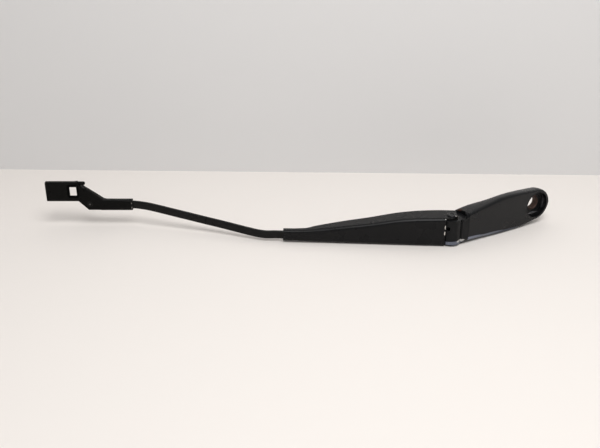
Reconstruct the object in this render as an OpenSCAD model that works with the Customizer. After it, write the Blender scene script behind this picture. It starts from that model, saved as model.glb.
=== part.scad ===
// Windscreen wiper arm: cast mounting head, folding hinge, sprung sheet arm, rod and hooked blade holder.
// All shapes are written in the hinge frame (pin axis on Z, arm along -X, underside towards +Y)
// and then moved so that the origin is the centre of the spindle bore.

/* [Sheet arm] */
// Thickness of the folded arm sheet
arm_sheet = 1.5; // [1.2:0.1:1.6]
// Outer radius of the bends along the web
arm_bend_r = 3.2; // [2.4:0.1:3.6]
// Height of the arm across the hinge ears
hinge_width = 27.5; // [27.4:0.05:27.6]
// Height of the closed sleeve around the rod
sleeve_height = 10.4; // [10.4:0.1:11]
// Rise of the sleeve above the arm's lower edge at the hinge
sleeve_lift = 1.6; // [1.2:0.1:2]
// Distance of the web's outer face from the hinge pin
web_offset = 9; // [8.9:0.05:9.1]
// Distance from the hinge pin to the end of the web
web_end = 6; // [5.9:0.1:6.4]
// Depth of the sheet arm at the hinge
arm_depth = 20.5; // [20:0.1:21]
// Distance from the hinge pin to the outer end of the sleeve
arm_length = 152.5; // [148:0.5:158]
// Length of the closed sleeve
sleeve_length = 20.5; // [18:0.5:22]
// Reach of the ears past the hinge pin
ear_reach = 5.3; // [5:0.1:5.6]

/* [Rod] */
// Width of the flat rod
rod_width = 7.3; // [6.8:0.1:7.3]
// Thickness of the flat rod
rod_thick = 3.56; // [3.2:0.02:3.56]
// Length of rod that shows between the sleeve and the first bend
rod_lead = 17.5; // [12:0.5:22]
// Reach of the rod from the first bend to the blade holder
rod_reach = 127; // [120:1:134]
// Sideways sweep of the rod between arm and blade holder
rod_sweep = 28; // [26:0.5:30]
// Rise of the rod between its two bends
rod_rise = 14.2; // [13:0.1:15.4]

/* [Blade holder] */
// Thickness of the holder sheet
holder_sheet = 1.2; // [1:0.1:1.2]
// Depth of the rim folded along the holder's neck
holder_depth = 7.6; // [7.2:0.2:8.4]
// Depth of the rims folded along the hooked plate
rim_depth = 4.4; // [4:0.2:5.2]
// Radius of the holder's folds
fold_r = 1.5; // [1.4:0.1:1.8]
// Height of the hooked plate
plate_height = 19.2; // [18:0.2:20]
// Length of the stem crimped on the rod
stem_length = 33.6; // [32:0.2:36]
// Length of the sloping neck between stem and plate
neck_length = 17.1; // [16:0.1:19]
// Length of the hooked plate along its top
plate_length = 29.4; // [27:0.2:33]
// Side of the window in the plate
window_w = 6.6; // [6:0.2:7]
// Height of the window in the plate
window_h = 8.9; // [8.3:0.2:9.3]

/* [Hinge] */
// Radius of the hinge pin
pin_r = 3; // [2.9:0.05:3.05]
// Radius of the pin's upper rivet head
pin_head_r = 4.8; // [4.4:0.1:5.2]
// Radius of the head's rounded nose
nose_r = 9.2; // [9:0.1:9.3]
// Outer radius of the bushes pressed in the nose
bush_r = 3.9; // [3.7:0.05:4]
// Height of the hook slot in the nose
slot_height = 3.8; // [3.7:0.1:4]
// Travel of the arm from its stop to fully raised
fold_travel = 100; // [99:0.5:100]

/* [Mounting head] */
// Angle between the head and the arm at the stop
fold_angle = 33.4; // [33:0.1:34]
// Distance from hinge pin to spindle bore
head_length = 96.8; // [94:0.2:100]
// Height of the spindle bore's axis above the arm's lower face
spindle_z = 20.2; // [19.8:0.1:20.6]
// Radius of the spindle boss
boss_r = 15.2; // [14.8:0.1:15.4]
// Radius of the nut recess
recess_r = 12.4; // [12:0.1:12.6]
// Depth of the nut recess down to the seat
recess_depth = 5.5; // [5.2:0.1:5.8]
// Radius of the spindle bore
bore_r = 5.5; // [5.3:0.1:5.7]
// Wall thickness of the hollow casting
cast_wall = 2.6; // [2.2:0.1:3]

/* [Spring linkage] */
// Distance of the hook pin from the hinge pin
hook_arm = 7.5; // [7.4:0.05:7.6]
// Radius of the hook pin
hook_pin_r = 1.9; // [1.8:0.05:1.95]
// Width of the hook's strip
hook_strip = 2.8; // [2.6:0.1:2.8]
// Distance between the hook's two eyes
hook_length = 30; // [29:0.5:31]
// Wire radius of the tension spring
wire_r = 0.9; // [0.8:0.05:0.95]
// Mean radius of the tension spring's coils
coil_r = 4; // [3.8:0.1:4.1]
// Number of coils
coils = 15; // [12:1:16]
// Distance from the hinge pin to the spring's fixed end
anchor_dist = 92; // [90:1:94]

/* [Hidden] */
// Smoothness of turned features
$fn = 48;
// Gap of running fits and of the axial play at the bush flanges
run_gap = 0.04;
// Overshoot of every cutting shape
eps = 0.02;
// Front face of the head and the height of its bevels
head_front = 9;
// Lowest and highest point of the nose between the ears
nose_low = arm_sheet + 0.5;
nose_high = hinge_width - nose_low;
// Lower and upper edge of the hook slot
slot_mid = nose_low + (nose_high - nose_low) * 0.668;
slot_low = slot_mid - slot_height / 2;
slot_high = slot_mid + slot_height / 2;
// Height at which spring, hook and slot meet
hook_z = (slot_low + slot_high) / 2;
// Thickness of the stamped hook
hook_t = slot_high - slot_low - 0.4;
// Height of the spring's fixed end
anchor_z = 9.6;
// Sideways place of the spring's fixed end
anchor_y = 2;
// Hook pin at rest, in the arm's frame
hook_a = fold_travel / 2;
hook_x = hook_arm * cos(hook_a);
hook_y = hook_arm * sin(hook_a);
// Direction of the spring line at rest
line_dx = -anchor_dist - hook_x;
line_dy = anchor_y - hook_y;
line_a = atan2(line_dy, line_dx);
line_len = sqrt(line_dx * line_dx + line_dy * line_dy);

function mix(a, b, t) = a + (b - a) * t;
// Smooth curve through listed [x, value] pairs (x rising), with eased slopes
function slope(p, i) = (i <= 0 || i >= len(p) - 1) ? (i <= 0 ? (p[1][1] - p[0][1]) / (p[1][0] - p[0][0])
    : (p[i][1] - p[i - 1][1]) / (p[i][0] - p[i - 1][0]))
    : (p[i + 1][1] - p[i - 1][1]) / (p[i + 1][0] - p[i - 1][0]);
function seg(p, x, i = 0) = (i >= len(p) - 2 || x < p[i + 1][0]) ? i : seg(p, x, i + 1);
function curve_at(p, x, i, h, t) = (2 * t * t * t - 3 * t * t + 1) * p[i][1]
    + (t * t * t - 2 * t * t + t) * h * slope(p, i) + (3 * t * t - 2 * t * t * t) * p[i + 1][1]
    + (t * t * t - t * t) * h * slope(p, i + 1);
function curve(p, x) = let (i = seg(p, x), h = p[i + 1][0] - p[i][0]) curve_at(p, x, i, h, (x - p[i][0]) / h);

// Points of an arc in the plane, with both ends
function arc(cx, cy, r, a0, a1, n) = [for (i = [0:n]) let (a = mix(a0, a1, i / n)) [cx + r * cos(a), cy + r * sin(a)]];

// Solid through rings of equal point count, closed by flat ends; cap lists the faces of an end that isn't one face
module loft(rings, cap = []) {
    m = len(rings[0]);
    k = len(rings);
    pts = [for (r = rings) each r];
    sides = [for (i = [0:k - 2], j = [0:m - 1]) [i * m + j, i * m + (j + 1) % m, (i + 1) * m + (j + 1) % m, (i + 1) * m + j]];
    parts = len(cap) > 0 ? cap : [[for (j = [0:m - 1]) j]];
    ends = [for (c = parts) each [[for (i = [len(c) - 1:-1:0]) c[i]], [for (j = c) (k - 1) * m + j]]];
    polyhedron(points = pts, faces = concat(sides, ends), convexity = 8);
}

// From the hinge frame to the part's frame
module placed() {
    a = fold_angle;
    translate([-head_length * cos(a), -head_length * sin(a), -spindle_z]) children();
}

// From the head's own axis to the hinge frame
module on_head() {
    rotate([0, 0, fold_angle]) children();
}

// Cylinder across the head: x along it, z height, from offset y0 to y1
module cross_cyl(x, z, y0, y1, r0, r1) {
    translate([x, y0, z]) rotate([-90, 0, 0]) cylinder(h = y1 - y0, r1 = r0, r2 = r1);
}

/* ---- sheet arm ---- */
// Taper of the arm: [share of its length, share of the rise from sleeve to hinge]
top_taper = [[1, 0], [0.866, 0.038], [0.761, 0.158], [0.66, 0.297], [0.483, 0.551], [0.393, 0.709], [0.308, 0.848],
    [0.197, 0.949], [0.092, 0.99], [0.052, 1], [-0.092, 1]];
deep_taper = [[1, 0], [0.866, 0.027], [0.813, 0.253], [0.662, 0.548], [0.479, 0.719], [0.321, 0.849], [0.122, 0.986],
    [0.013, 1], [-0.092, 1]];
sleeve_deep = 2 * arm_sheet + rod_thick - 0.66;
low_taper = [[1, 1], [0.866, 0.95], [0.7, 0.62], [0.5, 0.35], [0.3, 0.12], [0.15, 0], [-0.092, 0]];
arm_top = [for (p = top_taper) [-arm_length * p[0], mix(sleeve_lift + sleeve_height, hinge_width, p[1])]];
arm_low = [for (p = low_taper) [-arm_length * p[0], sleeve_lift * p[1]]];
arm_deep = [for (p = deep_taper) [-arm_length * p[0], mix(sleeve_deep, arm_depth, p[1])]];
sleeve_end = -arm_length + sleeve_length;

// Bend radius, tighter where the sheet closes on the rod
function bend_at(x) = mix(2.3, arm_bend_r, min(1, max(0, (x - sleeve_end) / 18)));
// Open section of the folded sheet at distance x, web towards -Y
function u_section(x) = let (zt = curve(arm_top, x), zl = curve(arm_low, x), yd = -web_offset + curve(arm_deep, x),
        r = bend_at(x), t = arm_sheet, ri = r - t, c = r - web_offset)
    concat([[yd, zl]], [for (p = arc(c, zl + r, r, 270, 180, 5)) p], [for (p = arc(c, zt - r, r, 180, 90, 5)) p], [[yd, zt]],
        [[yd - 0.2, zt - t]], [for (p = arc(c, zt - r, ri, 90, 180, 5)) p], [for (p = arc(c, zl + r, ri, 180, 270, 5)) p],
        [[yd - 0.2, zl + t]]);

// Outline of an ear around the hinge pin, seen along the pin
module ear_outline() {
    polygon(concat([[-40, -web_offset - 1], [-web_end, -web_offset - 1], [-web_end, -web_offset + 0.4]],
        arc(-web_end + 2.2, -web_offset + 3.2, 2.8, 270, 315, 4),
        arc(0, 0, ear_reach, -38, 8, 6),
        [[ear_reach - 0.9, 4.2], [ear_reach - 0.5, 7]],
        arc(ear_reach - 3, 9, 2.5, 0, 90, 6), [[-8, 12.2], [-40, 13]]));
}

module arm_channel() color([0.1, 0.1, 0.11]) placed() {
    open = -sleeve_end - 40;
    xs = concat([-arm_length, mix(-arm_length, sleeve_end, 0.5), sleeve_end],
        [for (i = [0:16]) sleeve_end + 4 + open * i / 16], [-30, -22, -14, -8, 0, 6.5]);
    difference() {
        union() {
            loft([for (x = xs) [for (p = u_section(x)) [x, p[0], p[1]]]]);
            sleeve();
        }
        // Ears: web cut away behind the nose, ends rounded about the pin
        translate([-web_end, -web_offset - 2, -1]) cube([20, 4.6, hinge_width + 2]);
        translate([0, 0, -1]) linear_extrude(height = hinge_width + 2) difference() {
            translate([-39, -14]) square([60, 34]);
            ear_outline();
        }
        translate([0, 0, -1]) cylinder(h = hinge_width + 2, r = pin_r);
        translate([0, 0, -eps]) cylinder(h = 0.9, r1 = pin_r + 0.9, r2 = pin_r);
    }
}

// Flaps folded in behind the rod, with a seam between them
module sleeve() {
    zt = sleeve_height;
    t = arm_sheet;
    back = -web_offset + 2 * t + rod_thick + 0.04;
    for (m = [0, 1]) translate([-arm_length + 0.1, 0, sleeve_lift + m * zt]) mirror([0, 0, m])
        rotate([90, 0, 90]) linear_extrude(height = sleeve_length)
            polygon(concat([[back - t, 0.4]], arc(back - 1.4, 1.4, 1.4, -70, 0, 4), [[back, zt / 2 - 0.25], [back - t, zt / 2 - 0.25]]));
}

// Welded tab with the hole that takes the spring's far hook
module spring_anchor() color([0.55, 0.55, 0.56]) placed() {
    t = 2.4;
    w = 9;
    y0 = -web_offset + arm_sheet;
    translate([-anchor_dist - w / 2, y0, anchor_z - t / 2]) difference() {
        linear_extrude(height = t) polygon([[0, 0], [w, 0], [w, 8], [w - 2.6, anchor_y - y0 + 3.2], [2.6, anchor_y - y0 + 3.2], [0, 8]]);
        translate([w / 2, anchor_y - y0, -1]) cylinder(h = t + 2, r = 1.5);
    }
}

/* ---- rod ---- */
holder_a = 3.383;
rod_bend = arm_length + rod_lead;
rod_end = rod_bend + rod_reach;
rod_y0 = -web_offset + arm_sheet + 0.02 + rod_thick / 2;
rod_z0 = sleeve_lift + sleeve_height / 2;
rod_y1 = rod_y0 + rod_sweep;
stem_z = rod_z0 + rod_rise;
holder_x0 = -rod_end - 1;
holder_y0 = rod_y1 - tan(holder_a) - holder_sheet - 0.02 - rod_thick / 2;
// Bends of the rod: [share of its reach, share of the sweep or rise]
plan_bends = [[0, 0.01], [0.118, 0.143], [0.409, 0.493], [0.709, 0.747], [0.913, 0.921], [1, 1]];
side_bends = [[0, -0.02], [0.075, 0.01], [0.256, 0.19], [0.437, 0.38], [0.62, 0.627], [0.8, 0.873], [0.885, 0.975], [0.94, 1],
    [1, 1]];
rod_plan = concat([[rod_bend - 10, rod_y0]], [for (p = plan_bends) [rod_bend + rod_reach * p[0], mix(rod_y0, rod_y1, p[1])]],
    [[rod_end + 10, rod_y1 - 10 * tan(holder_a)]]);
rod_side = concat([[rod_bend - 10, rod_z0]], [for (p = side_bends) [rod_bend + rod_reach * p[0], mix(rod_z0, stem_z, p[1])]],
    [[rod_end + 10, stem_z]]);
function rod_y(x) = x < rod_bend - 10 ? rod_y0 : (x > rod_end ? rod_y1 - (x - rod_end) * tan(holder_a) : curve(rod_plan, x));
function rod_z(x) = x < rod_bend - 10 ? rod_z0 : (x > rod_end ? stem_z : curve(rod_side, x));
function unit(v) = v / norm(v);
// Rounded flat section of the rod at distance x, square to its path
function rod_ring(x) = let (c = [-x, rod_y(x), rod_z(x)], e = 1.2,
        t = unit([-2 * e, rod_y(x + e) - rod_y(x - e), rod_z(x + e) - rod_z(x - e)]),
        s = unit(cross(t, [0, 0, 1])), u = cross(s, t), a = rod_thick / 2, b = rod_width / 2, r = 0.9)
    [for (p = concat(arc(a - r, b - r, r, 0, 90, 3), arc(-a + r, b - r, r, 90, 180, 3),
        arc(-a + r, -b + r, r, 180, 270, 3), arc(a - r, -b + r, r, 270, 360, 3))) c + s * p[0] + u * p[1]];

module arm_rod() color([0.1, 0.1, 0.11]) placed() {
    xs = concat([rod_bend - 36, rod_bend - 20, rod_bend - 12], [for (i = [0:10]) rod_bend - 8 + 3 * i],
        [for (i = [1:11]) mix(rod_bend + 22, rod_end - 22, i / 12)], [for (i = [0:9]) rod_end - 21 + 3 * i],
        [rod_end + 15, rod_end + 25]);
    loft([for (x = xs) rod_ring(x)]);
}

/* ---- blade holder ---- */
stem_low = stem_z - rod_width / 2 - holder_sheet - 0.05;
stem_top = stem_z + rod_width / 2 + holder_sheet + 0.05;
plate_low = stem_low + 9;
plate_top = plate_low + plate_height;
neck_end = -stem_length - neck_length;
plate_left = neck_end - plate_length;
neck_low = neck_end + 9.3;
plate_foot = neck_end + 0.4;
window_x = plate_foot - 7.4;
// Side outline of the holder in its own plane, right end at 0, set in by d
function holder_outline(d) = [[0, stem_low + d], [0, stem_top - d], [-stem_length - d * 0.436, stem_top - d],
    [neck_end - d * 0.436, plate_top - d], [plate_left, plate_top - d], [plate_left, plate_low + d],
    [plate_foot - d * 0.42, plate_low + d], [neck_low - d * 0.34, stem_low + d]];

// Ring of the folded sheet at depth y, set in by d
function holder_ring(y, d) = [for (p = holder_outline(d)) [p[0], y, p[1]]];

module blade_holder() color([0.11, 0.11, 0.12]) placed() translate([holder_x0, holder_y0, 0]) rotate([0, 0, holder_a]) {
    t = holder_sheet;
    back = 2 * t + rod_thick + 0.06;
    closed = stem_length - 9.6;
    edge = holder_outline(t);
    difference() {
        union() {
            // Sheet folded round all long edges
            loft(concat([for (k = [0:4]) holder_ring(fold_r * (1 - cos(k * 22.5)), fold_r * (1 - sin(k * 22.5)))],
                [holder_ring(holder_depth + 0.5, 0)]), cap = [[3, 4, 5, 6], [2, 3, 6], [2, 6, 7], [7, 0, 1, 2]]);
            // Tab at the end of the upper rim
            translate([neck_end - 2, t + 0.8, plate_top - t - 0.15]) cube([8, rim_depth - t - 0.9, t]);
        }
        // Hollow behind the front sheet, from the open left end to the stem
        slab(t, holder_depth + 1) polygon(concat([edge[3], edge[4] - [1, 0], edge[5] - [1, 0], edge[6], edge[7]],
            [[-closed, stem_low + t], [-closed, stem_top - t], edge[2]]));
        // Rims of the plate, shallower than the neck's
        translate([0, 0, plate_low - 1]) linear_extrude(height = plate_height + 2)
            polygon([[plate_left - 1, rim_depth], [neck_end - 3, rim_depth], [neck_end + 9, holder_depth + 1.2],
                [plate_left - 1, holder_depth + 1.2]]);
        translate([plate_left - 2, holder_depth, stem_low - 3]) cube([3 - plate_left, 3, plate_top]);
        // Stem closes to the rod's thickness
        translate([-closed - 0.5, back, stem_low - 3]) cube([closed + 2, holder_depth, rod_width + 13]);
        // Slope of the rims down to the stem
        translate([-closed - 0.5, back, stem_low - 3]) rotate([0, 0, -24]) translate([-12, 0, 0]) cube([24, holder_depth, rod_width + 13]);
        // Rounded folds at the back of the stem
        for (z = [stem_low, stem_top]) translate([-closed - 2, back, z]) rotate([45, 0, 0]) translate([0, -0.85, -0.85])
            cube([closed + 4, 1.7, 1.7]);
        // Room for the rod
        translate([-closed - 6, t, stem_z - rod_width / 2 - 0.05]) cube([closed + 10, rod_thick + 0.06, rod_width + 0.1]);
        // Seam at the back of the stem
        translate([-closed - 2, back - t - 0.1, stem_z - 0.3]) cube([closed + 6, t + 0.4, 0.6]);
        // Window for the blade's catch
        translate([window_x, -1, plate_low + (plate_height - window_h) / 2 + 0.8]) cube([window_w, t + 2, window_h]);
    }
    // Half-sheared stud that stops the rod
    translate([neck_low + 1.7, 0, stem_z + 1.6]) rotate([90, 0, 0]) cylinder(h = 0.45, r1 = 1.5, r2 = 1.1);
}

// Plane shape given in x and z, as a slab of thickness h from depth y0
module slab(y0, h) {
    translate([0, y0, 0]) rotate([90, 0, 0]) translate([0, 0, -h]) linear_extrude(height = h) children();
}

/* ---- hinge ---- */
module pivot_pin() color([0.3, 0.29, 0.28]) placed() {
    translate([0, 0, 0.06]) cylinder(h = 0.8, r1 = pin_r + 0.84, r2 = pin_r);
    cylinder(h = hinge_width, r = pin_r);
    translate([0, 0, hinge_width]) cylinder(h = 0.5, r = pin_head_r);
    translate([0, 0, hinge_width + 0.5]) cylinder(h = 0.7, r1 = pin_head_r, r2 = pin_head_r - 1.6);
}

upper_seat = nose_high - slot_high - 0.7;
lower_seat = slot_low - nose_low - 3.8;

// Flanged bush, flange at z = 0 and sleeve upwards
module bush(length) {
    flange = nose_low - arm_sheet - 0.06;
    difference() {
        union() {
            cylinder(h = length, r = bush_r);
            translate([0, 0, -flange]) cylinder(h = flange, r = bush_r + 2);
        }
        translate([0, 0, -1]) cylinder(h = length + 2, r = pin_r + run_gap);
    }
}

module pivot_bush_lower() color([0.62, 0.5, 0.3]) placed() translate([0, 0, nose_low]) bush(lower_seat);

module pivot_bush_upper() color([0.62, 0.5, 0.3]) placed() translate([0, 0, nose_high]) mirror([0, 0, 1]) bush(upper_seat);

module hook_pin() color([0.35, 0.34, 0.33]) placed()
    rotate([0, 0, hook_a]) translate([hook_arm, 0, slot_low - 6]) cylinder(h = slot_height + 10, r = hook_pin_r);

/* ---- mounting head ---- */
boss_end = head_length + boss_r;
// Outlines of the casting: [share of its length, height]
boss_top = spindle_z + boss_r;
boss_low = spindle_z - boss_r;
head_top = [for (p = [[0, hinge_width - 0.9], [0.134, hinge_width + 1.7], [0.32, hinge_width + 5.4], [0.525, boss_top + 0.9],
    [0.661, boss_top + 1.5], [0.764, boss_top + 1.2], [0.888, boss_top + 0.6], [1, boss_top]]) [p[0] * head_length, p[1]]];
head_low = [for (p = [[0, nose_low], [0.207, nose_low], [0.351, 1.4], [0.517, 0.3], [0.62, 0], [0.744, 0.6], [0.868, 2.4],
    [1, boss_low]]) [p[0] * head_length, p[1]]];
head_rear = [for (p = [[0, 8.2], [0.165, 8], [0.269, 6.4], [0.393, 2.9], [0.517, 1.2], [0.682, 1.4], [0.826, 2], [0.992, 2],
    [1.24, 2]]) [p[0] * head_length, p[1]]];
function top_at(x) = x <= head_length ? curve(head_top, x) : spindle_z + sqrt(max(0.3, boss_r * boss_r - (x - head_length) * (x - head_length)));
function low_at(x) = x <= head_length ? curve(head_low, x) : spindle_z - sqrt(max(0.3, boss_r * boss_r - (x - head_length) * (x - head_length)));
mid_head = 0.62 * head_length;
// Bevel widths on the top and bottom of the front face
function bev_t(x) = x <= mid_head ? 2.4 : (x < head_length ? mix(2.4, 0.8, (x - mid_head) / (head_length - mid_head)) : 0.8);
function bev_l(x) = x <= mid_head ? 2.6 : (x < head_length ? mix(2.6, 0.8, (x - mid_head) / (head_length - mid_head)) : 0.8);
// Section across the head at x: front face, bevels and rear edge
function head_ring(x) = let (a = low_at(x), b = top_at(x), f = -head_front, w = curve(head_rear, x), k = (b - a) < 3 ? 0.3 : 1)
    [[w, a], [f + 3, a], [f + 0.9, a + bev_l(x) * 0.3 * k], [f, a + bev_l(x) * k], [f, b - bev_t(x) * k],
        [f + 0.5, b - bev_t(x) * 0.62 * k], [f + 1.6, b - bev_t(x) * 0.22 * k], [f + 3, b], [w, b - 1.4 * k]];
// Hollow behind the front skin
function pocket_ring(x) = let (c = cast_wall, a = low_at(x) + c, b = top_at(x) - c, f = -head_front + c, w = 14)
    [[w, a], [f + 1.5, a], [f, a + 1.5], [f, b - 2.5], [f + 2.5, b], [w, b]];

module mounting_head() color([0.09, 0.09, 0.1]) placed() on_head() difference() {
    union() {
        difference() {
            body_shell();
            // Swing of the arm's ears and web about the pin
            translate([0, 0, nose_high]) cylinder(h = 20, r = 13.1);
            translate([0, 0, -eps]) cylinder(h = nose_low + eps, r = 13.1);
            translate([0, 0, -1]) linear_extrude(height = 40) polygon(stop_sector());
            head_pocket();
        }
        translate([0, 0, nose_low]) cylinder(h = nose_high - nose_low, r = nose_r);
        stop_heel();
        spindle_core();
    }
    // Slot for the hook, closed on the outer side past the raised position
    translate([0, 0, slot_low]) linear_extrude(height = slot_high - slot_low)
        polygon([[11.8, -2.6], [11.8, 30], [-24, 30], [-24, -22], [-2.2, -2.6]]);
    translate([0, 0, -1]) cylinder(h = 40, r = pin_r + 0.5);
    translate([0, 0, nose_low - 1]) cylinder(h = lower_seat + 1, r = bush_r);
    translate([0, 0, nose_high - upper_seat]) cylinder(h = upper_seat + 2, r = bush_r);
    rotate([0, 0, hook_a - fold_angle]) translate([hook_arm, 0, slot_low - 6]) cylinder(h = slot_height + 10, r = hook_pin_r);
    spindle_cuts();
}

// Region in front of the nose that the end of the web sweeps through
function stop_sector() = concat([[0, 0]], arc(0, 0, 16, 176, 303.4, 14));

module body_shell() {
    xs = concat([1, 5, 9, 13], [for (i = [0:12]) mix(18, head_length - 6.8, i / 12)], [for (i = [0:10]) head_length + boss_r * sin(i * 9)]);
    loft([for (x = xs) [for (p = head_ring(x)) [x, p[0], p[1]]]]);
}

module head_pocket() {
    difference() {
        loft([for (x = [for (i = [0:9]) mix(17, head_length - 16.8, i / 9)]) [for (p = pocket_ring(x)) [x, p[0], p[1]]]]);
        // Ribs across and along the hollow
        for (k = [0.35, 0.54, 0.7]) translate([k * head_length - 0.9, -head_front, 0]) cube([1.8, 30, 40]);
        translate([10, -head_front, spindle_z - 3.2]) cube([head_length - 16.8, head_front + 0.4, 1.8]);
        cross_cyl(head_length, spindle_z, -head_front, 30, boss_r + 0.6, boss_r + 0.6);
    }
}

// Heel on the nose that meets the web at the stop
module stop_heel() {
    rotate([0, 0, -fold_angle]) translate([0, 0, 3]) linear_extrude(height = 11)
        polygon([[-9.2, -7.44], [-7.2, -7.44], [-2, -4], [-2, 2], [-8, 2], [-10.4, -4]]);
}

module spindle_core() cross_cyl(head_length, spindle_z, -head_front + 1, 2.5, 10.4, 9.9);

module spindle_cuts() {
    cross_cyl(head_length, spindle_z, -head_front - 1, -head_front + recess_depth - 1.2, recess_r, recess_r);
    cross_cyl(head_length, spindle_z, -head_front, -head_front + recess_depth, 9.8, 9.8);
    cross_cyl(head_length, spindle_z, -head_front + recess_depth - eps, -head_front + recess_depth + 1, bore_r + 1, bore_r);
    cross_cyl(head_length, spindle_z, -head_front, 10, bore_r, bore_r);
}

/* ---- spring linkage ---- */
// Hook link, drawn with its pin eye at the origin and its spring eye along +X
module spring_hook() color([0.4, 0.39, 0.38]) placed() translate([hook_x, hook_y, hook_z - hook_t / 2]) rotate([0, 0, line_a]) mirror([0, 1, 0])
    difference() {
        union() {
            cylinder(h = hook_t, r = 3.9);
            translate([hook_length, 0, 0]) cylinder(h = hook_t, r = 3.2);
            linear_extrude(height = hook_t) polygon(concat(hook_edge(hook_strip / 2),
                [for (i = [len(hook_edge(0)) - 1:-1:0]) hook_edge(-hook_strip / 2)[i]]));
        }
        translate([0, 0, -1]) cylinder(h = hook_t + 2, r = hook_pin_r + run_gap);
        translate([hook_length, 0, -1]) cylinder(h = hook_t + 2, r = 1.5);
    }

// One edge of the curved strip, d outside its centre line
function hook_edge(d) = let (cx = 5.15, cy = 5.45, r = 4.85)
    concat([[0.3 - d, 2.6]], arc(cx, cy, r + d, 180, 90, 8), [[15.5 + d * 0.3, cy + r + d]], arc(15.5, cy + r - 5, 5 + d, 84, 48, 5),
        [[hook_length - 1.8 + d * 0.7, 1.45 + d * 0.7]]);

// Closed-coil spring between the hook and the anchor
module tension_spring() color([0.45, 0.45, 0.46]) placed() {
    sx = hook_x + hook_length * cos(line_a);
    sy = hook_y + hook_length * sin(line_a);
    run = line_len - hook_length;
    drop = atan2(hook_z - anchor_z, run);
    full = sqrt(run * run + (hook_z - anchor_z) * (hook_z - anchor_z));
    lead = 9;
    translate([sx, sy, hook_z]) rotate([0, 0, line_a]) rotate([0, drop, 0]) {
        coil(lead, full - lead);
        end_hook(lead);
        translate([full, 0, 0]) mirror([1, 0, 0]) end_hook(lead);
    }
}

// Wire wound round +X from x0 to x1
module coil(x0, x1) {
    n = coils * 16;
    p = (x1 - x0) / coils;
    loft([for (i = [0:n]) let (a = i * 22.5, x = x0 + p * i / 16)
        [for (k = [0:5]) let (u = wire_r * cos(k * 60 + 30), v = -wire_r * sin(k * 60 + 30))
            [x + v, (coil_r + u) * sin(a), (coil_r + u) * cos(a)]]]);
}

// Open hook of the wire, standing in the spring's own upright plane
module end_hook(lead) {
    // straight shank from the coil to the eye
    translate([2.6, 0, 0]) rotate([90, 0, 0]) rotate([0, 0, 90]) rotate_extrude(angle = 180, $fn = 32) translate([2.6, 0]) circle(r = wire_r - 0.04, $fn = 12);
    translate([2.6, 0, 2.6]) rotate([0, 90, 0]) cylinder(h = lead - 4.4, r = wire_r - 0.04, $fn = 12);
    translate([lead - 1.8, 0, 2.6]) rotate([0, 68, 0]) cylinder(h = 0.01, r = wire_r, $fn = 12);
    hull() {
        translate([lead - 1.8, 0, 2.6]) sphere(r = wire_r - 0.04, $fn = 12);
        translate([lead, 0, coil_r]) sphere(r = wire_r - 0.04, $fn = 12);
    }
}

mounting_head();
pivot_bush_upper();
pivot_bush_lower();
hook_pin();
pivot_pin();
arm_channel();
spring_anchor();
arm_rod();
blade_holder();
spring_hook();
tension_spring();
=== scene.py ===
"""Looks of a windscreen wiper arm: painted sheet arm, cast head, rod, spring and hooked blade holder.

All sizes are in millimetres in the hinge frame (pin axis on Z, arm along -X, underside towards +Y).
hinge_to_part moves them to the part's own frame, in metres, whose origin is the centre of the spindle bore.
"""

from __future__ import annotations

import logging
import math
from dataclasses import dataclass, replace
from enum import Enum
from functools import cache
from typing import Sequence

import bmesh
import bpy
import numpy as np
from mathutils import Matrix, Vector

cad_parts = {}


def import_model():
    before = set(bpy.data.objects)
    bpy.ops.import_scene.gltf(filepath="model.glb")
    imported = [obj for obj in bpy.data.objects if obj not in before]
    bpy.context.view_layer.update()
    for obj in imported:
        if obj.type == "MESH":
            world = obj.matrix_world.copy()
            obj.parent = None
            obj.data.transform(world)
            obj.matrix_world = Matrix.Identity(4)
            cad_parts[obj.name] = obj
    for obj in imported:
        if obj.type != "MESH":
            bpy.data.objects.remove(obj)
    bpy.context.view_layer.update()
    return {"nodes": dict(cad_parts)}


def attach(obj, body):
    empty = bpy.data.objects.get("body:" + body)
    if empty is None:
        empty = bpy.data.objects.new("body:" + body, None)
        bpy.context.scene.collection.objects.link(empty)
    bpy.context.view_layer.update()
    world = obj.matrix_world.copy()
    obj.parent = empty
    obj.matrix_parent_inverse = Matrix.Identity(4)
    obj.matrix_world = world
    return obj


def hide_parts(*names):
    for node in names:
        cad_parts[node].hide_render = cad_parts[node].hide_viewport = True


LOG = logging.getLogger("wiper_arm")
MM = 0.001
UP = np.array([0.0, 0.0, 1.0])
FOLD_ANGLE = math.radians(33.4)
HEAD_LENGTH = 96.8
SPINDLE_HEIGHT = 20.2
HEAD_AXIS = np.array([math.cos(FOLD_ANGLE), math.sin(FOLD_ANGLE), 0.0])
HEAD_SIDE = np.array([-math.sin(FOLD_ANGLE), math.cos(FOLD_ANGLE), 0.0])
PART_ORIGIN = HEAD_AXIS * HEAD_LENGTH + UP * SPINDLE_HEIGHT
TABLE_HEIGHT = -SPINDLE_HEIGHT * MM
WEB_FACE = -9.0
TAIL_ANGLE = 3.383
QUARTER_POINTS = 7
MERGE_DISTANCE = 1e-7
STEEP = 0.9
GRAIN_HEIGHT = 0.0002
SLOW_RANGE = (0.3, 0.7)

Color = tuple[float, float, float]
Point = tuple[float, float, float]
Table = Sequence[tuple[float, float]]


class Body(str, Enum):
    """Moving bodies that carry the pieces made here."""

    HEAD = "head"
    ARM = "arm"
    SPRING = "spring"


def hinge_to_part(points: np.ndarray) -> np.ndarray:
    """Moves points from the hinge frame in millimetres to the part's frame in metres.

    Args:
        points: Array of shape (..., 3) in the hinge frame, in millimetres.

    Returns:
        The same points in the part's frame, in metres.
    """
    return (np.asarray(points, dtype=float) - PART_ORIGIN) * MM


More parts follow.
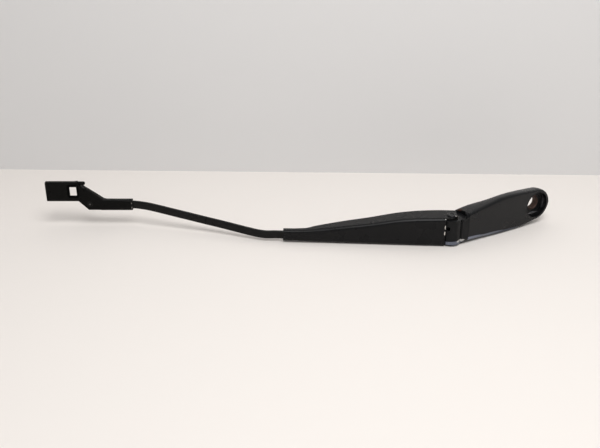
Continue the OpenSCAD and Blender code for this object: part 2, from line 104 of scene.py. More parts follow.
def head_to_hinge(along: np.ndarray, off: np.ndarray, up: np.ndarray) -> np.ndarray:
    """Turns head coordinates into the hinge frame: along the head, off its axis and up.

    Args:
        along: Distances from the hinge pin along the head, in millimetres.
        off: Distances off the head's axis, positive towards the glass side.
        up: Heights above the arm's lower face.

    Returns:
        Points in the hinge frame, in millimetres.
    """
    along, off, up = np.broadcast_arrays(along, off, up)
    return along[..., None] * HEAD_AXIS + off[..., None] * HEAD_SIDE + up[..., None] * UP


def ease(table: Table, x: np.ndarray) -> np.ndarray:
    """Cubic curve through listed points, with slopes taken from their neighbours (a Hermite spline).

    Args:
        table: Pairs of place and value, with rising places.
        x: Places to evaluate.

    Returns:
        The curve's values at x.
    """
    px, py = np.array(table, dtype=float).T
    slopes = np.empty_like(py)
    slopes[1:-1] = (py[2:] - py[:-2]) / (px[2:] - px[:-2])
    slopes[0] = (py[1] - py[0]) / (px[1] - px[0])
    slopes[-1] = (py[-1] - py[-2]) / (px[-1] - px[-2])
    i = np.clip(np.searchsorted(px, x, side="right") - 1, 0, len(px) - 2)
    h = px[i + 1] - px[i]
    t = (x - px[i]) / h
    return ((2 * t**3 - 3 * t**2 + 1) * py[i] + (t**3 - 2 * t**2 + t) * h * slopes[i]
            + (3 * t**2 - 2 * t**3) * py[i + 1] + (t**3 - t**2) * h * slopes[i + 1])


def arc_points(cx: float, cy: float, radius: float, start: float, stop: float, count: int) -> np.ndarray:
    """Points of a circular arc in the plane, ends included: centre + radius * (cos a, sin a).

    Args:
        cx: First coordinate of the centre.
        cy: Second coordinate of the centre.
        radius: Radius of the arc.
        start: First angle, in degrees.
        stop: Last angle, in degrees.
        count: Number of points.

    Returns:
        Array of shape (count, 2).
    """
    a = np.radians(np.linspace(start, stop, count))
    return np.stack([cx + radius * np.cos(a), cy + radius * np.sin(a)], axis=-1)


def rounded_loop(x0: float, x1: float, z0: float, z1: float, r: float) -> np.ndarray:
    """Rectangle with round corners: four quarter arcs of radius r joined by straight sides.

    Args:
        x0: Low end of the first coordinate.
        x1: High end of the first coordinate.
        z0: Low end of the second coordinate.
        z1: High end of the second coordinate.
        r: Radius of the corners.

    Returns:
        Array of shape (points, 2), once round.
    """
    corners = ((x1 - r, z1 - r, 0), (x0 + r, z1 - r, 90), (x0 + r, z0 + r, 180), (x1 - r, z0 + r, 270))
    return np.concatenate([arc_points(x, z, r, a, a + 90, QUARTER_POINTS) for x, z, a in corners])


def grid_faces(rows: int, columns: int, closed: bool) -> np.ndarray:
    """Quads of a grid of points, row after row.

    Args:
        rows: Number of rings.
        columns: Number of points in a ring.
        closed: Whether the last column joins the first.

    Returns:
        Array of shape (faces, 4) with point numbers.
    """
    i, j = np.meshgrid(np.arange(rows - 1), np.arange(columns if closed else columns - 1), indexing="ij")
    k = (j + 1) % columns
    quads = np.stack([i * columns + j, i * columns + k, (i + 1) * columns + k, (i + 1) * columns + j], axis=-1)
    return quads.reshape(-1, 4)


def skin_rings(name: str, rings: np.ndarray, finish: bpy.types.Material, sharp_angle: float,
               closed: bool = True, capped: bool = False) -> bpy.types.Object:
    """Makes a piece from rings of points: quads from ring to ring and, if capped, a face over each end.

    Points under the table are raised to it. Shading is smooth up to the sharp angle, doubled points are merged
    and faces are turned outwards.

    Args:
        name: Name of the piece.
        rings: Points in the hinge frame, in millimetres, shape (rings, points, 3).
        finish: Material of the piece.
        sharp_angle: Edges steeper than this, in degrees, stay sharp.
        closed: Whether each ring's last point joins its first.
        capped: Whether both ends get a face.

    Returns:
        The new object, at the origin and unturned.
    """
    rows, count = rings.shape[:2]
    faces = grid_faces(rows, count, closed).tolist()
    if capped:
        last = (rows - 1) * count
        faces += [list(range(count))[::-1], [last + k for k in range(count)]]
    above = rings.reshape(-1, 3) * 1.0
    above[:, 2] = np.maximum(above[:, 2], 0.0)
    mesh = bpy.data.meshes.new(name)
    mesh.from_pydata(hinge_to_part(above).tolist(), [], faces)
    mesh.validate()
    mesh.polygons.foreach_set("use_smooth", np.ones(len(mesh.polygons), dtype=bool))
    mesh.set_sharp_from_angle(angle=math.radians(sharp_angle))
    work = bmesh.new()
    work.from_mesh(mesh)
    bmesh.ops.remove_doubles(work, verts=work.verts, dist=MERGE_DISTANCE)
    bmesh.ops.recalc_face_normals(work, faces=work.faces)
    work.to_mesh(mesh)
    work.free()
    mesh.materials.append(finish)
    piece = bpy.data.objects.new(name, mesh)
    bpy.context.scene.collection.objects.link(piece)
    return piece


def across(axis: np.ndarray) -> np.ndarray:
    """Unit vector at right angles to an axis: its cross product with up or, on a steep axis, with X.

    Args:
        axis: Unit vector.

    Returns:
        The unit vector across it.
    """
    side = np.cross(axis, UP if abs(axis[2]) < STEEP else [1.0, 0.0, 0.0])
    return side / np.linalg.norm(side)


def swept_tube(path: np.ndarray, radius: float, sides: int) -> np.ndarray:
    """Rings of a round tube along a path: radius * (cos a * n + sin a * b) about each of the path's points.

    The normals n are carried from ring to ring without twist: each is the last one less its part along the
    new tangent.

    Args:
        path: Centre line, shape (n, 3).
        radius: Radius of the tube.
        sides: Points in each ring.

    Returns:
        Array of shape (n, sides, 3).
    """
    tangents = np.gradient(path, axis=0)
    tangents /= np.linalg.norm(tangents, axis=1, keepdims=True)
    normals = np.empty_like(path)
    normals[0] = across(tangents[0])
    for i in range(1, len(path)):
        carried = normals[i - 1] - tangents[i] * (normals[i - 1] @ tangents[i])
        normals[i] = carried / np.linalg.norm(carried)
    binormals = np.cross(tangents, normals)
    a = np.linspace(0.0, 2.0 * math.pi, sides, endpoint=False)
    around = np.cos(a)[None, :, None] * normals[:, None] + np.sin(a)[None, :, None] * binormals[:, None]
    return path[:, None] + radius * around


def turned(profile: Table, centre: np.ndarray, axis: np.ndarray, sides: int) -> np.ndarray:
    """Rings of a turned surface: centre + h * axis + r * (cos a * u + sin a * v) over a profile of (r, h) pairs.

    Args:
        profile: Pairs of radius and height along the axis.
        centre: Where the height is zero.
        axis: Unit vector of the axis.
        sides: Points around.

    Returns:
        Array of shape (pairs, sides, 3).
    """
    u = across(axis)
    v = np.cross(axis, u)
    r, h = np.array(profile, dtype=float).T
    a = np.linspace(0.0, 2.0 * math.pi, sides, endpoint=False)
    around = np.cos(a)[:, None] * u + np.sin(a)[:, None] * v
    return centre + h[:, None, None] * axis + r[:, None, None] * around[None]


class Shelf:
    """Shared shader node groups, each built once."""

    @staticmethod
    def group(name: str, inputs: dict[str, tuple[str, object]],
              outputs: Sequence[str]) -> tuple[bpy.types.NodeTree, bpy.types.Node, bpy.types.Node]:
        """Makes a group with its sockets and no nodes between them.

        Args:
            name: Name of the group.
            inputs: Kind and default of each input, by name.
            outputs: Name of each output, all plain numbers.

        Returns:
            The group's tree, its input node and its output node.
        """
        tree = bpy.data.node_groups.new(name, "ShaderNodeTree")
        for label, (kind, default) in inputs.items():
            socket = tree.interface.new_socket(name=label, in_out="INPUT", socket_type=f"NodeSocket{kind}")
            socket.default_value = default
        for label in outputs:
            tree.interface.new_socket(name=label, in_out="OUTPUT", socket_type="NodeSocketFloat")
        return tree, tree.nodes.new("NodeGroupInput"), tree.nodes.new("NodeGroupOutput")

    @staticmethod
    @cache
    def grain() -> bpy.types.NodeTree:
        """Fine paint or casting grain: a height for the bump and a slow variation from 0 to 1.

        Returns:
            The group.
        """
        inputs = {"Vector": ("Vector", (0, 0, 0)), "Scale": ("Float", 900.0)}
        tree, given, result = Shelf.group("surface_grain", inputs, ("Height", "Variation"))
        fine, slow = (tree.nodes.new("ShaderNodeTexNoise") for _ in range(2))
        fine.inputs["Detail"].default_value = 3.0
        slow.inputs["Detail"].default_value = 4.0
        slow.inputs["Scale"].default_value = 60.0
        for node in (fine, slow):
            tree.links.new(given.outputs["Vector"], node.inputs["Vector"])
        tree.links.new(given.outputs["Scale"], fine.inputs["Scale"])
        tree.links.new(fine.outputs["Fac"], result.inputs["Height"])
        tree.links.new(slow.outputs["Fac"], result.inputs["Variation"])
        return tree

    @staticmethod
    @cache
    def spot() -> bpy.types.NodeTree:
        """Ragged patch around a centre: 1 where |(v - centre) / reach| plus ragged * noise is small, falling to 0.

        Returns:
            The group.
        """
        inputs = {"Vector": ("Vector", (0, 0, 0)), "Centre": ("Vector", (0, 0, 0)),
                  "Reach": ("Vector", (1, 1, 1)), "Ragged": ("Float", 0.6)}
        tree, given, result = Shelf.group("ragged_spot", inputs, ("Mask",))
        apart, scaled, length = (tree.nodes.new("ShaderNodeVectorMath") for _ in range(3))
        apart.operation, scaled.operation, length.operation = "SUBTRACT", "DIVIDE", "LENGTH"
        noise = tree.nodes.new("ShaderNodeTexNoise")
        noise.inputs["Detail"].default_value = 5.0
        noise.inputs["Scale"].default_value = 700.0
        total = tree.nodes.new("ShaderNodeMath")
        total.operation = "MULTIPLY_ADD"
        edge = tree.nodes.new("ShaderNodeMapRange")
        edge.interpolation_type = "SMOOTHSTEP"
        for label, value in (("From Min", 1.0), ("From Max", 1.35), ("To Min", 1.0), ("To Max", 0.0)):
            edge.inputs[label].default_value = value
        link = tree.links.new
        link(given.outputs["Vector"], apart.inputs[0])
        link(given.outputs["Centre"], apart.inputs[1])
        link(apart.outputs[0], scaled.inputs[0])
        link(given.outputs["Reach"], scaled.inputs[1])
        link(scaled.outputs[0], length.inputs[0])
        link(given.outputs["Vector"], noise.inputs["Vector"])
        link(noise.outputs["Fac"], total.inputs[0])
        link(given.outputs["Ragged"], total.inputs[1])
        link(length.outputs["Value"], total.inputs[2])
        link(total.outputs[0], edge.inputs["Value"])
        link(edge.outputs["Result"], result.inputs["Mask"])
        return tree


@dataclass(frozen=True)
class Patch:
    """A worn or rusty place, or a painted highlight or reflection: centre and half sizes in the hinge frame, in
    millimetres, and its colour.
    """

    centre: Point
    reach: Point
    color: Color
    metallic: float = 1.0
    roughness: float = 0.35
    ragged: float = 0.6


@dataclass(frozen=True)
class Finish:
    """A finish with grain, slow colour variation and any patches of wear, rust or painted highlight."""

    name: str
    color: Color
    pale: Color
    roughness: float
    spread: float = 0.08
    metallic: float = 0.0
    grain_scale: float = 900.0
    grain_depth: float = 0.15
    specular: float = 0.5
    patches: tuple[Patch, ...] = ()

    def build(self) -> bpy.types.Material:
        """Makes the material: grain and variation from Object coordinates, then each patch laid over it.

        Returns:
            The new material.
        """
        material = bpy.data.materials.new(self.name)
        material.use_nodes = True
        tree = material.node_tree
        shader = tree.nodes["Principled BSDF"]
        shader.inputs["Specular IOR Level"].default_value = self.specular
        place = tree.nodes.new("ShaderNodeTexCoord").outputs["Object"]
        color, rough = self.surface(tree, shader, place)
        metal = None
        for patch in self.patches:
            mask = self.mask(tree, place, patch)
            color = self.overlay(tree, mask, color, (*patch.color, 1.0), "RGBA")
            rough = self.overlay(tree, mask, rough, patch.roughness, "FLOAT")
            metal = self.overlay(tree, mask, metal, patch.metallic, "FLOAT")
        tree.links.new(color, shader.inputs["Base Color"])
        tree.links.new(rough, shader.inputs["Roughness"])
        if metal is None:
            shader.inputs["Metallic"].default_value = self.metallic
        else:
            tree.links.new(metal, shader.inputs["Metallic"])
        return material

    def surface(self, tree: bpy.types.NodeTree, shader: bpy.types.Node,
                place: bpy.types.NodeSocket) -> tuple[bpy.types.NodeSocket, bpy.types.NodeSocket]:
        """Adds grain, bump and slow variation.

        Args:
            tree: Node tree of the material.
            shader: Its main shader, which takes the bump.
            place: Socket with Object coordinates.

        Returns:
            The sockets of colour and roughness.
        """
        link = tree.links.new
        grain = tree.nodes.new("ShaderNodeGroup")
        grain.node_tree = Shelf.grain()
        grain.inputs["Scale"].default_value = self.grain_scale
        link(place, grain.inputs["Vector"])
        color = tree.nodes.new("ShaderNodeMix")
        color.data_type = "RGBA"
        color.inputs["A"].default_value = (*self.color, 1.0)
        color.inputs["B"].default_value = (*self.pale, 1.0)
        link(grain.outputs["Variation"], color.inputs["Factor"])
        rough = tree.nodes.new("ShaderNodeMapRange")
        for label, value in (("From Min", SLOW_RANGE[0]), ("From Max", SLOW_RANGE[1]),
                             ("To Min", self.roughness - self.spread), ("To Max", self.roughness + self.spread)):
            rough.inputs[label].default_value = value
        link(grain.outputs["Variation"], rough.inputs["Value"])
        bump = tree.nodes.new("ShaderNodeBump")
        bump.inputs["Strength"].default_value = self.grain_depth
        bump.inputs["Distance"].default_value = GRAIN_HEIGHT
        link(grain.outputs["Height"], bump.inputs["Height"])
        link(bump.outputs["Normal"], shader.inputs["Normal"])
        return color.outputs["Result"], rough.outputs["Result"]

    @staticmethod
    def mask(tree: bpy.types.NodeTree, place: bpy.types.NodeSocket, patch: Patch) -> bpy.types.NodeSocket:
        """Adds one patch's mask.

        Args:
            tree: Node tree of the material.
            place: Socket with Object coordinates.
            patch: The patch.

        Returns:
            The mask's socket.
        """
        spot = tree.nodes.new("ShaderNodeGroup")
        spot.node_tree = Shelf.spot()
        spot.inputs["Centre"].default_value = tuple(hinge_to_part(np.array(patch.centre)))
        spot.inputs["Reach"].default_value = tuple(np.array(patch.reach) * MM)
        spot.inputs["Ragged"].default_value = patch.ragged
        tree.links.new(place, spot.inputs["Vector"])
        return spot.outputs["Mask"]

    def overlay(self, tree: bpy.types.NodeTree, mask: bpy.types.NodeSocket, base: bpy.types.NodeSocket | None,
                value: float | tuple[float, ...], kind: str) -> bpy.types.NodeSocket:
        """Mixes a value over a socket by a mask.

        Args:
            tree: Node tree of the material.
            mask: Socket with the patch's mask.
            base: Socket under the patch, or None for the finish's own metallic value.
            value: What the patch shows.
            kind: Data type of the mix.

        Returns:
            The mixed socket.
        """
        blend = tree.nodes.new("ShaderNodeMix")
        blend.data_type = kind
        blend.inputs["B"].default_value = value
        tree.links.new(mask, blend.inputs["Factor"])
        if base is None:
            blend.inputs["A"].default_value = self.metallic
        else:
            tree.links.new(base, blend.inputs["A"])
        return blend.outputs["Result"]


BARE_STEEL = (0.62, 0.60, 0.57)

WEB_END_CHIPS = (
    Patch((-6.0, -8.7, 19.4), (0.7, 1.6, 2.0), BARE_STEEL, ragged=0.25),
    Patch((-6.4, -8.9, 13.6), (0.55, 1.2, 1.7), BARE_STEEL, ragged=0.25),
    Patch((-5.6, -8.3, 27.2), (1.3, 1.0, 0.5), BARE_STEEL, ragged=0.3),
)
# Painted highlight: a lighter strip along the channel's lower fold, where the bend catches light from the table.
LOWER_FOLD_HIGHLIGHT = Patch((-72.0, -8.0, 0.5), (95.0, 8.0, 1.5), (0.022, 0.0205, 0.0205), 0.2, 0.28, 0.1)
STEM_END_MARKS = (
    Patch((-298.4, 18.9, 19.0), (0.5, 0.9, 1.2), (0.22, 0.2, 0.19), 0.5, 0.4, 0.5),
    Patch((-298.4, 18.9, 23.4), (0.5, 0.9, 0.9), (0.16, 0.15, 0.14), 0.4, 0.4, 0.5),
)
STUD_TIP = Patch((-337.6, 16.4, 22.6), (0.75, 0.9, 0.75), (0.11, 0.105, 0.1), 0.4, 0.4, 0.25)
RIVET_CHIP = Patch((3.4, -3.0, 28.4), (1.2, 0.8, 0.8), BARE_STEEL, 1.0, 0.3, 0.9)
# Brown rust on the head's shoulder, then a painted bluish reflection along the nose's lower edge and a painted white
# glint beside the hinge.
NOSE_WEAR_AND_GLINTS = (
    Patch((6.6, 11.0, 28.6), (5.0, 3.0, 1.6), (0.035, 0.014, 0.008), 0.0, 0.55, 0.9),
    Patch((4.0, -8.0, 2.4), (12.0, 7.0, 2.7), (0.15, 0.165, 0.21), 0.9, 0.3, 0.12),
    Patch((9.5, -5.6, 4.8), (4.6, 4.0, 1.2), (0.5, 0.5, 0.5), 1.0, 0.3, 0.25),
)
# Painted reflection of the table along the head's lower rolled edge: bluish grey near the hinge, fading towards the
# boss.
BEVEL_PAINTED_REFLECTION = (
    Patch((15.0, -1.0, 3.0), (22.0, 17.0, 2.9), (0.22, 0.24, 0.30), 0.9, 0.3, 0.12),
    Patch((34.0, 11.6, 2.2), (24.0, 18.0, 2.3), (0.16, 0.175, 0.21), 0.9, 0.3, 0.12),
    Patch((53.0, 24.2, 1.0), (23.0, 17.0, 2.1), (0.07, 0.078, 0.095), 0.9, 0.3, 0.12),
)
# Brown rust in the nut recess, then lighter grey strips on its lower rim and right side: painted highlights on the ring
# edges.
RECESS_RUST_AND_HIGHLIGHTS = (
    Patch((83.0, 49.6, 24.5), (6.0, 4.4, 5.5), (0.05, 0.024, 0.02), 0.2, 0.45, 0.9),
    Patch((84.0, 48.6, 10.5), (8.0, 6.0, 0.75), (0.2, 0.2, 0.21), 0.9, 0.32, 0.6),
    Patch((93.6, 56.0, 18.0), (2.2, 3.0, 7.0), (0.06, 0.06, 0.064), 0.9, 0.32, 0.6),
)

# The arm's paint carries bare steel chips at the web's end and the painted highlight of the lower fold.
ARM_PAINT = Finish("arm_paint", (0.0045, 0.0045, 0.005), (0.007, 0.0068, 0.0072), 0.3,
                   specular=0.15, grain_depth=0.10, patches=WEB_END_CHIPS + (LOWER_FOLD_HIGHLIGHT,))
ROD_PAINT = Finish("rod_paint", (0.005, 0.0047, 0.0045), (0.0085, 0.008, 0.0076), 0.33,
                   specular=0.14, grain_depth=0.12)
HOLDER_PAINT = Finish("holder_paint", (0.003, 0.003, 0.0028), (0.0052, 0.005, 0.0045), 0.33,
                      specular=0.07, grain_depth=0.16, patches=STEM_END_MARKS)
FRAME_PAINT = Finish("frame_paint", (0.001, 0.001, 0.001), (0.0018, 0.0018, 0.0018), 0.5,
                     specular=0.03, grain_depth=0.16)
STUD_PAINT = Finish("stud_paint", (0.0045, 0.0045, 0.0042), (0.0075, 0.0073, 0.0065), 0.38,
                    specular=0.12, patches=(STUD_TIP,))
RIVET_PAINT = Finish("rivet_paint", (0.005, 0.005, 0.006), (0.01, 0.01, 0.011), 0.26,
                     specular=0.2, patches=(RIVET_CHIP,))
# The casting's paint carries the shoulder's rust and the nose's painted reflection and glint; the face's copy adds the
# painted reflection along the lower edge.
CASTING = Finish("casting_paint", (0.0052, 0.0054, 0.006), (0.0085, 0.0087, 0.0095), 0.32,
                 grain_scale=600.0, grain_depth=0.2, specular=0.14, patches=NOSE_WEAR_AND_GLINTS)
FACE_PAINT_AND_SHEEN = replace(CASTING, name="face_paint_and_sheen", specular=0.24, patches=NOSE_WEAR_AND_GLINTS + BEVEL_PAINTED_REFLECTION)
# Painted shade: the nut recess is painted darker than the rest of the casting.
RECESS_SHADED_PAINT = Finish("recess_shaded_paint", (0.0022, 0.0022, 0.0024), (0.0045, 0.0045, 0.005), 0.36,
                      specular=0.16, grain_depth=0.2, patches=RECESS_RUST_AND_HIGHLIGHTS)
BORE_RUST = Finish("bore_rust", (0.032, 0.015, 0.01), (0.075, 0.038, 0.027), 0.5,
                   metallic=0.5, grain_depth=0.4, grain_scale=1500.0)
PLAIN_STEEL = Finish("plain_steel", (0.16, 0.155, 0.15), (0.24, 0.23, 0.22), 0.42, metallic=0.9, grain_depth=0.2)
BRONZE = Finish("bearing_bronze", (0.03, 0.026, 0.02), (0.06, 0.05, 0.036), 0.4, metallic=1.0)
SPRING_STEEL = Finish("spring_steel", (0.2, 0.2, 0.2), (0.3, 0.29, 0.28), 0.34, metallic=1.0, grain_depth=0.1)
FINISHES = (ARM_PAINT, ROD_PAINT, HOLDER_PAINT, FRAME_PAINT, STUD_PAINT, RIVET_PAINT, CASTING, FACE_PAINT_AND_SHEEN,
            RECESS_SHADED_PAINT, BORE_RUST, PLAIN_STEEL, BRONZE, SPRING_STEEL)


@dataclass
class Studio:
    """Pale table, pale wall, one soft lamp and the camera of the photograph."""

    camera_place: Point = (-98.2, -664.9, 325.8)
    camera_turn: float = TAIL_ANGLE
    camera_pitch: float = 25.0
    lens: float = 48.0
    sensor: float = 36.0
    clip_start: float = 0.01
    wall_distance: float = 171.0
    wall_middle: float = -100.0
    wall_turn: float = 1.8
    wall_height: float = 3.0
    reach: float = 4.0
    matt: float = 0.6
    table_color: Color = (0.82, 0.775, 0.735)
    wall_color: Color = (0.73, 0.72, 0.715)
    lamp_place: Point = (-0.04, -0.58, 1.05)
    lamp_aim: Point = (-0.1, 0.0, 0.0)
    lamp_size: float = 0.7
    lamp_power: float = 10.6
    room_strength: float = 0.36

    def camera(self) -> None:
        """Places the camera: turned about Z, pitched down, with the photograph's field of view."""
        data = bpy.data.cameras.new("camera")
        data.lens = self.lens
        data.sensor_width = self.sensor
        data.sensor_fit = "HORIZONTAL"
        data.clip_start = self.clip_start
        camera = bpy.data.objects.new("camera", data)
        turn = Matrix.Rotation(math.radians(self.camera_turn), 4, "Z")
        tilt = Matrix.Rotation(math.radians(90.0 - self.camera_pitch), 4, "X")
        camera.matrix_world = Matrix.Translation(hinge_to_part(np.array(self.camera_place))) @ turn @ tilt
        bpy.context.scene.collection.objects.link(camera)
        bpy.context.scene.camera = camera

    def plain(self, name: str, color: Color, one_sided: bool) -> bpy.types.Material:
        """Matt material for table and wall.

        Args:
            name: Name of the material.
            color: Its colour.
            one_sided: Whether it can't be seen from behind.

        Returns:
            The new material.
        """
        material = bpy.data.materials.new(name)
        material.use_nodes = True
        tree = material.node_tree
        shader = tree.nodes["Principled BSDF"]
        shader.inputs["Base Color"].default_value = (*color, 1.0)
        shader.inputs["Roughness"].default_value = self.matt
        if one_sided:
            side = tree.nodes.new("ShaderNodeNewGeometry")
            clear = tree.nodes.new("ShaderNodeBsdfTransparent")
            mix = tree.nodes.new("ShaderNodeMixShader")
            tree.links.new(side.outputs["Backfacing"], mix.inputs[0])
            tree.links.new(shader.outputs[0], mix.inputs[1])
            tree.links.new(clear.outputs[0], mix.inputs[2])
            tree.links.new(mix.outputs[0], tree.nodes["Material Output"].inputs["Surface"])
        return material

    @staticmethod
    def sheet(name: str, corners: Sequence[Point], material: bpy.types.Material) -> None:
        """Makes one flat sheet.

        Args:
            name: Name of the sheet.
            corners: Its four corners, in metres.
            material: Its material.
        """
        mesh = bpy.data.meshes.new(name)
        mesh.from_pydata(list(corners), [], [(0, 1, 2, 3)])
        mesh.materials.append(material)
        sheet = bpy.data.objects.new(name, mesh)
        bpy.context.scene.collection.objects.link(sheet)

    def stage(self) -> None:
        """Lays the table and stands the wall behind it, turned a little less than the camera."""
        z, half = TABLE_HEIGHT, self.reach
        self.sheet("table", [(-half, -half, z), (half, -half, z), (half, half, z), (-half, half, z)],
                   self.plain("table_top", self.table_color, False))
        turn = math.radians(self.wall_turn)
        x, y, _ = hinge_to_part(np.array([self.wall_middle, self.wall_distance, 0.0]))
        dx, dy = math.cos(turn) * half, math.sin(turn) * half
        top = z + self.wall_height
        self.sheet("wall", [(x - dx, y - dy, z), (x + dx, y + dy, z), (x + dx, y + dy, top), (x - dx, y - dy, top)],
                   self.plain("wall_paint", self.wall_color, True))

    def light(self) -> None:
        """Adds a square soft lamp above the camera's side and a weak even room light."""
        world = bpy.data.worlds.new("room")
        world.use_nodes = True
        room = world.node_tree.nodes["Background"]
        room.inputs["Color"].default_value = (1.0, 1.0, 1.0, 1.0)
        room.inputs["Strength"].default_value = self.room_strength
        bpy.context.scene.world = world
        data = bpy.data.lights.new("ceiling", "AREA")
        data.size = self.lamp_size
        data.energy = self.lamp_power
        lamp = bpy.data.objects.new("ceiling", data)
        facing = Vector(self.lamp_aim) - Vector(self.lamp_place)
        turned_down = facing.to_track_quat("-Z", "Y").to_matrix().to_4x4()
        lamp.matrix_world = Matrix.Translation(self.lamp_place) @ turned_down
        bpy.context.scene.collection.objects.link(lamp)
        bpy.context.scene.view_settings.view_transform = "Standard"

    def build(self) -> None:
        """Builds camera, stage and light."""
        self.camera()
        self.stage()
        self.light()


@dataclass
class RodPiece:
    """Flat rod with two long bends, from the sleeve to the blade holder."""

    width: float = 7.3
    thick: float = 3.56
    corner: float = 1.0
    bend: float = 170.0
    reach: float = 127.0
    start_y: float = -5.7
    start_z: float = 6.8
    sweep: float = 28.0
    rise: float = 14.2
    straight: float = 10.0
    in_sleeve: float = 36.0
    in_holder: float = 25.0
    rings: int = 150
    probe: float = 1.2
    sharp_angle: float = 50.0
    plan: Table = ((0, 0.01), (0.118, 0.143), (0.409, 0.493), (0.709, 0.747), (0.913, 0.921), (1, 1))
    side: Table = ((0, -0.02), (0.075, 0.01), (0.256, 0.19), (0.437, 0.38), (0.62, 0.627), (0.8, 0.873),
                   (0.885, 0.975), (0.94, 1), (1, 1))

    def curve(self, x: np.ndarray, shares: Table, start: float, change: float, drop: float) -> np.ndarray:
        """One coordinate: level before the bends, eased through the shares, then straight with a drop.

        Args:
            x: Distances from the hinge.
            shares: Share of the reach and share of the change, in pairs.
            start: The coordinate before the bends.
            change: How far the coordinate moves in all.
            drop: How much it falls for each millimetre after the bends.

        Returns:
            The coordinate at x.
        """
        first, end, last = self.bend - self.straight, self.bend + self.reach, start + change
        table = ([(first, start)] + [(self.bend + self.reach * a, start + change * b) for a, b in shares]
                 + [(end + self.straight, last - self.straight * drop)])
        return np.where(x < first, start, np.where(x > end, last - (x - end) * drop, ease(table, x)))

    def centre_line(self, x: np.ndarray) -> np.ndarray:
        """Centre line at distance x from the hinge: two eased curves, sideways and upwards.

        Args:
            x: Distances from the hinge.

        Returns:
            Points in the hinge frame, shape (n, 3).
        """
        y = self.curve(x, self.plan, self.start_y, self.sweep, math.tan(math.radians(TAIL_ANGLE)))
        z = self.curve(x, self.side, self.start_z, self.rise, 0.0)
        return np.stack([-x, y, z], axis=-1)

    def build(self, finish: bpy.types.Material) -> bpy.types.Object:
        """Carries a rounded section along the centre line: p = path + thickness * side + width * up.

        Args:
            finish: Material of the rod.

        Returns:
            The rod.
        """
        x = np.linspace(self.bend - self.in_sleeve, self.bend + self.reach + self.in_holder, self.rings)
        path = self.centre_line(x)
        tangent = self.centre_line(x + self.probe) - self.centre_line(x - self.probe)
        tangent /= np.linalg.norm(tangent, axis=1, keepdims=True)
        side = np.cross(tangent, UP)
        side /= np.linalg.norm(side, axis=1, keepdims=True)
        up = np.cross(side, tangent)
        flat = rounded_loop(-self.thick / 2, self.thick / 2, -self.width / 2, self.width / 2, self.corner)
        rings = path[:, None] + flat[None, :, :1] * side[:, None] + flat[None, :, 1:] * up[:, None]
        piece = skin_rings("flat_rod", rings, finish, self.sharp_angle, capped=True)
        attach(piece, Body.ARM.value)
        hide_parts("arm_rod")
        return piece


@dataclass
class SpringPiece:
    """Tension spring: wound wire with a round hook at each end."""

    wire: float = 0.9
    sides: int = 12
    coil: float = 4.0
    turns: int = 15
    turn_points: int = 36
    lead: float = 9.0
    eye: float = 2.6
    eye_points: int = 24
    eye_angles: tuple[float, float] = (-100.0, 90.0)
    shank: Table = ((3.4, 2.65), (1.6, 3.1))
    hook_arm: float = 7.5
    hook_length: float = 30.0
    anchor: Point = (-92.0, 2.0, 9.6)
    pin_angle: float = 50.0
    hook_height: float = 17.7
    sharp_angle: float = 60.0

    def wound(self, full: float) -> np.ndarray:
        """Wire in its own frame: eye, shank, winding at (coil * sin a, coil * cos a), shank, eye.

        Args:
            full: Length from eye to eye.

        Returns:
            Points along, beside and above the spring's axis, shape (n, 3).
        """
        bent = np.radians(np.linspace(*self.eye_angles, self.eye_points))
        eye = np.stack([self.eye * (1.0 - np.cos(bent)), np.zeros_like(bent), self.eye * np.sin(bent)], axis=-1)
        shank = np.array([[self.lead - before, 0.0, height] for before, height in self.shank])
        a = np.linspace(0.0, 2 * math.pi * self.turns, self.turns * self.turn_points)
        run = full - 2 * self.lead
        helix = np.stack([self.lead + run * a / a[-1], self.coil * np.sin(a), self.coil * np.cos(a)], axis=-1)
        front = np.concatenate([eye, shank])
        back = front[::-1] * np.array([-1.0, 1.0, 1.0]) + np.array([full, 0.0, 0.0])
        return np.concatenate([front, helix, back])

    def centre_line(self) -> np.ndarray:
        """Wire's path between the hook's end and the anchor.

        Returns:
            Points in the hinge frame, shape (n, 3).
        """
        angle = math.radians(self.pin_angle)
        pin = np.array([self.hook_arm * math.cos(angle), self.hook_arm * math.sin(angle), self.hook_height])
        flat = np.array([self.anchor[0] - pin[0], self.anchor[1] - pin[1], 0.0])
        near = pin + flat / np.linalg.norm(flat) * self.hook_length
        axis = np.array(self.anchor) - near
        full = float(np.linalg.norm(axis))
        axis /= full
        side = np.cross(UP, axis)
        side /= np.linalg.norm(side)
        above = np.cross(axis, side)
        local = self.wound(full)
        return near + local[:, :1] * axis + local[:, 1:2] * side + local[:, 2:] * above

    def build(self, finish: bpy.types.Material) -> bpy.types.Object:
        """Carries a round wire along the centre line.

        Args:
            finish: Material of the wire.

        Returns:
            The spring.
        """
        rings = swept_tube(self.centre_line(), self.wire, self.sides)
        piece = skin_rings("spring_wire", rings, finish, self.sharp_angle, capped=True)
        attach(piece, Body.SPRING.value)
        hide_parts("tension_spring")
        return piece


